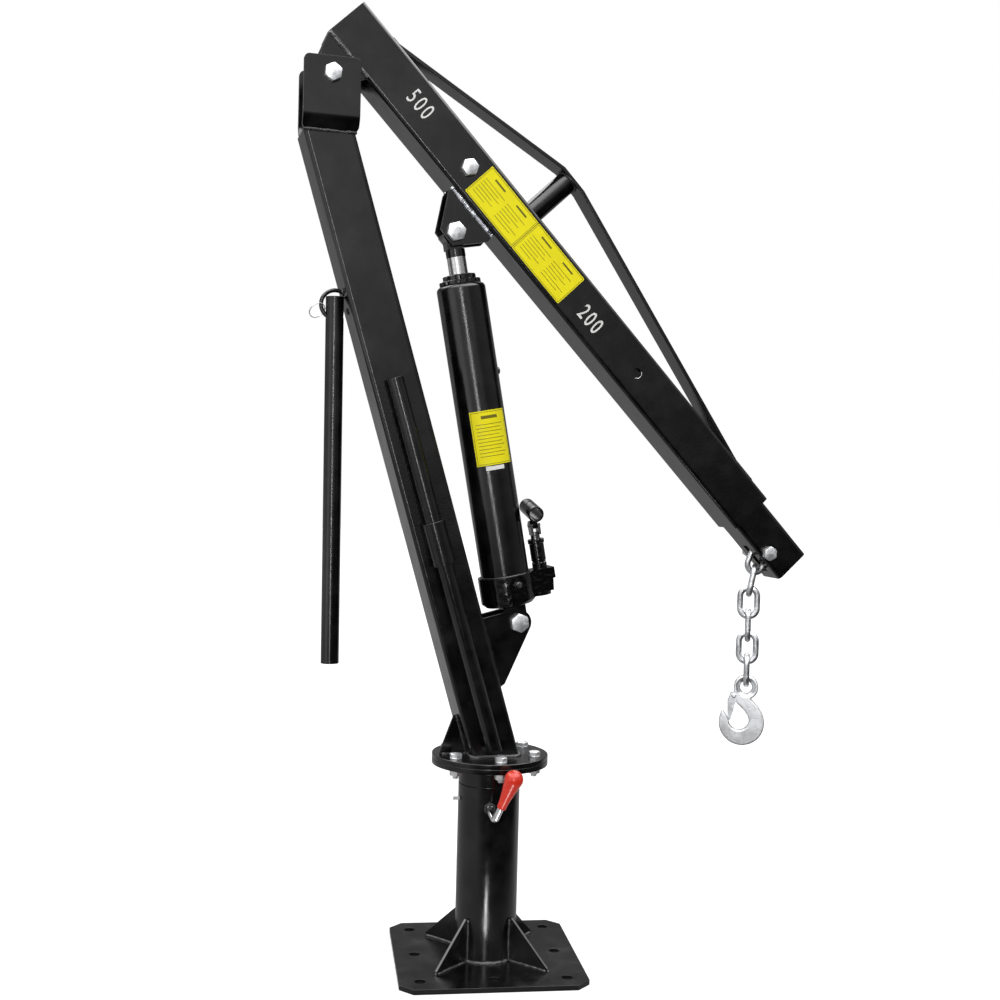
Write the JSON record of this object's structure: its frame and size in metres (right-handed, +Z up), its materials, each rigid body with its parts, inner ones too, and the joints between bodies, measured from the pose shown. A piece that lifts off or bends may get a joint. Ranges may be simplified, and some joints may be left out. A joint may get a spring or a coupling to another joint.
{
  "type": "jib crane",
  "caption": "Swivelling bolt-down jib crane: leaning square mast, telescopic boom with a brace, hydraulic lifting jack, chain and latched hook.",
  "frame": {"origin": "centre of the base plate's underside, on the post's axis", "axes": "+Z up along the post, +X the way the boom points, +Y to the boom's left"},
  "size_m": [0.8681, 0.3262, 1.4963],
  "materials": {
    "black_paint": "glossy powder coat",
    "zinc": "zinc plated",
    "galvanised": "bright galvanised",
    "chrome": "hard chrome",
    "red_grip": "gloss"
  },
  "bodies": {
    "root": {"base_plate": "black_paint", "base_gussets": "black_paint", "post_tube": "black_paint", "stop_screw": "zinc"},
    "clamp": {"clamp_lever": "chrome", "clamp_grip": "red_grip"},
    "crane": {"swivel_shaft": "zinc", "swivel_collar": "black_paint", "lower_flange": "black_paint", "upper_flange": "black_paint", "flange_bolts": "zinc", "mast_tube": "black_paint", "mast_foot_gusset": "black_paint", "ear_near": "black_paint", "ear_far": "black_paint", "pivot_bolt": "zinc", "jack_brackets": "black_paint", "lower_jack_bolt": "zinc", "pipe_sleeve": "black_paint", "stored_pipe": "black_paint", "handle_hook": "black_paint", "split_ring": "zinc", "pump_handle": "black_paint"},
    "boom": {"boom_tube": "black_paint", "boom_lugs": "black_paint", "clevis_plates": "black_paint", "upper_jack_bolt": "zinc", "brace_bar": "black_paint", "brace_strut": "black_paint", "extension_bolt": "zinc"},
    "extension": {"inner_boom": "black_paint", "chain_bolt": "zinc", "anchor_link": "galvanised"},
    "load_chain": {"chain_links": "galvanised", "hook": "galvanised"},
    "latch": {"hook_latch": "galvanised"},
    "jack": {"jack_tang": "black_paint", "jack_base": "black_paint", "jack_cylinder": "black_paint", "gland_nut": "black_paint", "release_valve": "zinc", "pump_cylinder": "black_paint", "pump_piston": "chrome"},
    "pump_lever": {"pump_socket": "black_paint"},
    "ram": {"ram_rod": "chrome", "ram_head": "black_paint"}
  },
  "joints": [
    {"name": "swivel", "type": "hinge", "parent": "root", "child": "crane", "pos_m": [0, 0, 0.286], "axis": [0, 0, 1], "continuous": true},
    {"name": "clamp_turn", "type": "hinge", "parent": "root", "child": "clamp", "pos_m": [-0.01114, -0.04823, 0.255], "axis": [-0.225, -0.9744, 0], "range_deg": [-90, 90]},
    {"name": "boom_luff", "type": "hinge", "parent": "crane", "child": "boom", "pos_m": [-0.286, 0, 1.379], "axis": [0, -1, 0], "range_deg": [0, 105]},
    {"name": "boom_extend", "type": "slide", "parent": "boom", "child": "extension", "axis": [0.6858, 0, -0.7278], "range_m": [0, 0.421]},
    {"name": "chain_hang", "type": "hinge", "parent": "extension", "child": "load_chain", "pos_m": [0.46155, 0, 0.64021], "axis": [0, -1, 0], "range_deg": [-105, 0]},
    {"name": "hook_latch_turn", "type": "hinge", "parent": "load_chain", "child": "latch", "pos_m": [0.4336, 0.00902, 0.41512], "axis": [-0.4509, -0.8926, 0], "range_deg": [0, 30], "stiffness_Nm_per_rad": 0.05, "springref_deg": -17.19},
    {"name": "jack_tilt", "type": "hinge", "parent": "crane", "child": "jack", "pos_m": [0.0356, 0, 0.5466], "axis": [0, 1, 0], "range_deg": [0, 2.25]},
    {"name": "ram_slide", "type": "slide", "parent": "jack", "child": "ram", "axis": [-0.1836, 0, 0.983], "range_m": [0, 0.47093]},
    {"name": "pump_stroke", "type": "hinge", "parent": "jack", "child": "pump_lever", "pos_m": [0.06357, -0.002, 0.70238], "axis": [0.983, 0, 0.1836], "range_deg": [-20, 30]}
  ],
  "couplings": [
    {"joint": "jack_tilt", "follows": "boom_luff", "ratio": 0.021392},
    {"joint": "ram_slide", "follows": "boom_luff", "m_per_rad": 0.25697},
    {"joint": "chain_hang", "follows": "boom_luff", "ratio": -1}
  ]
}
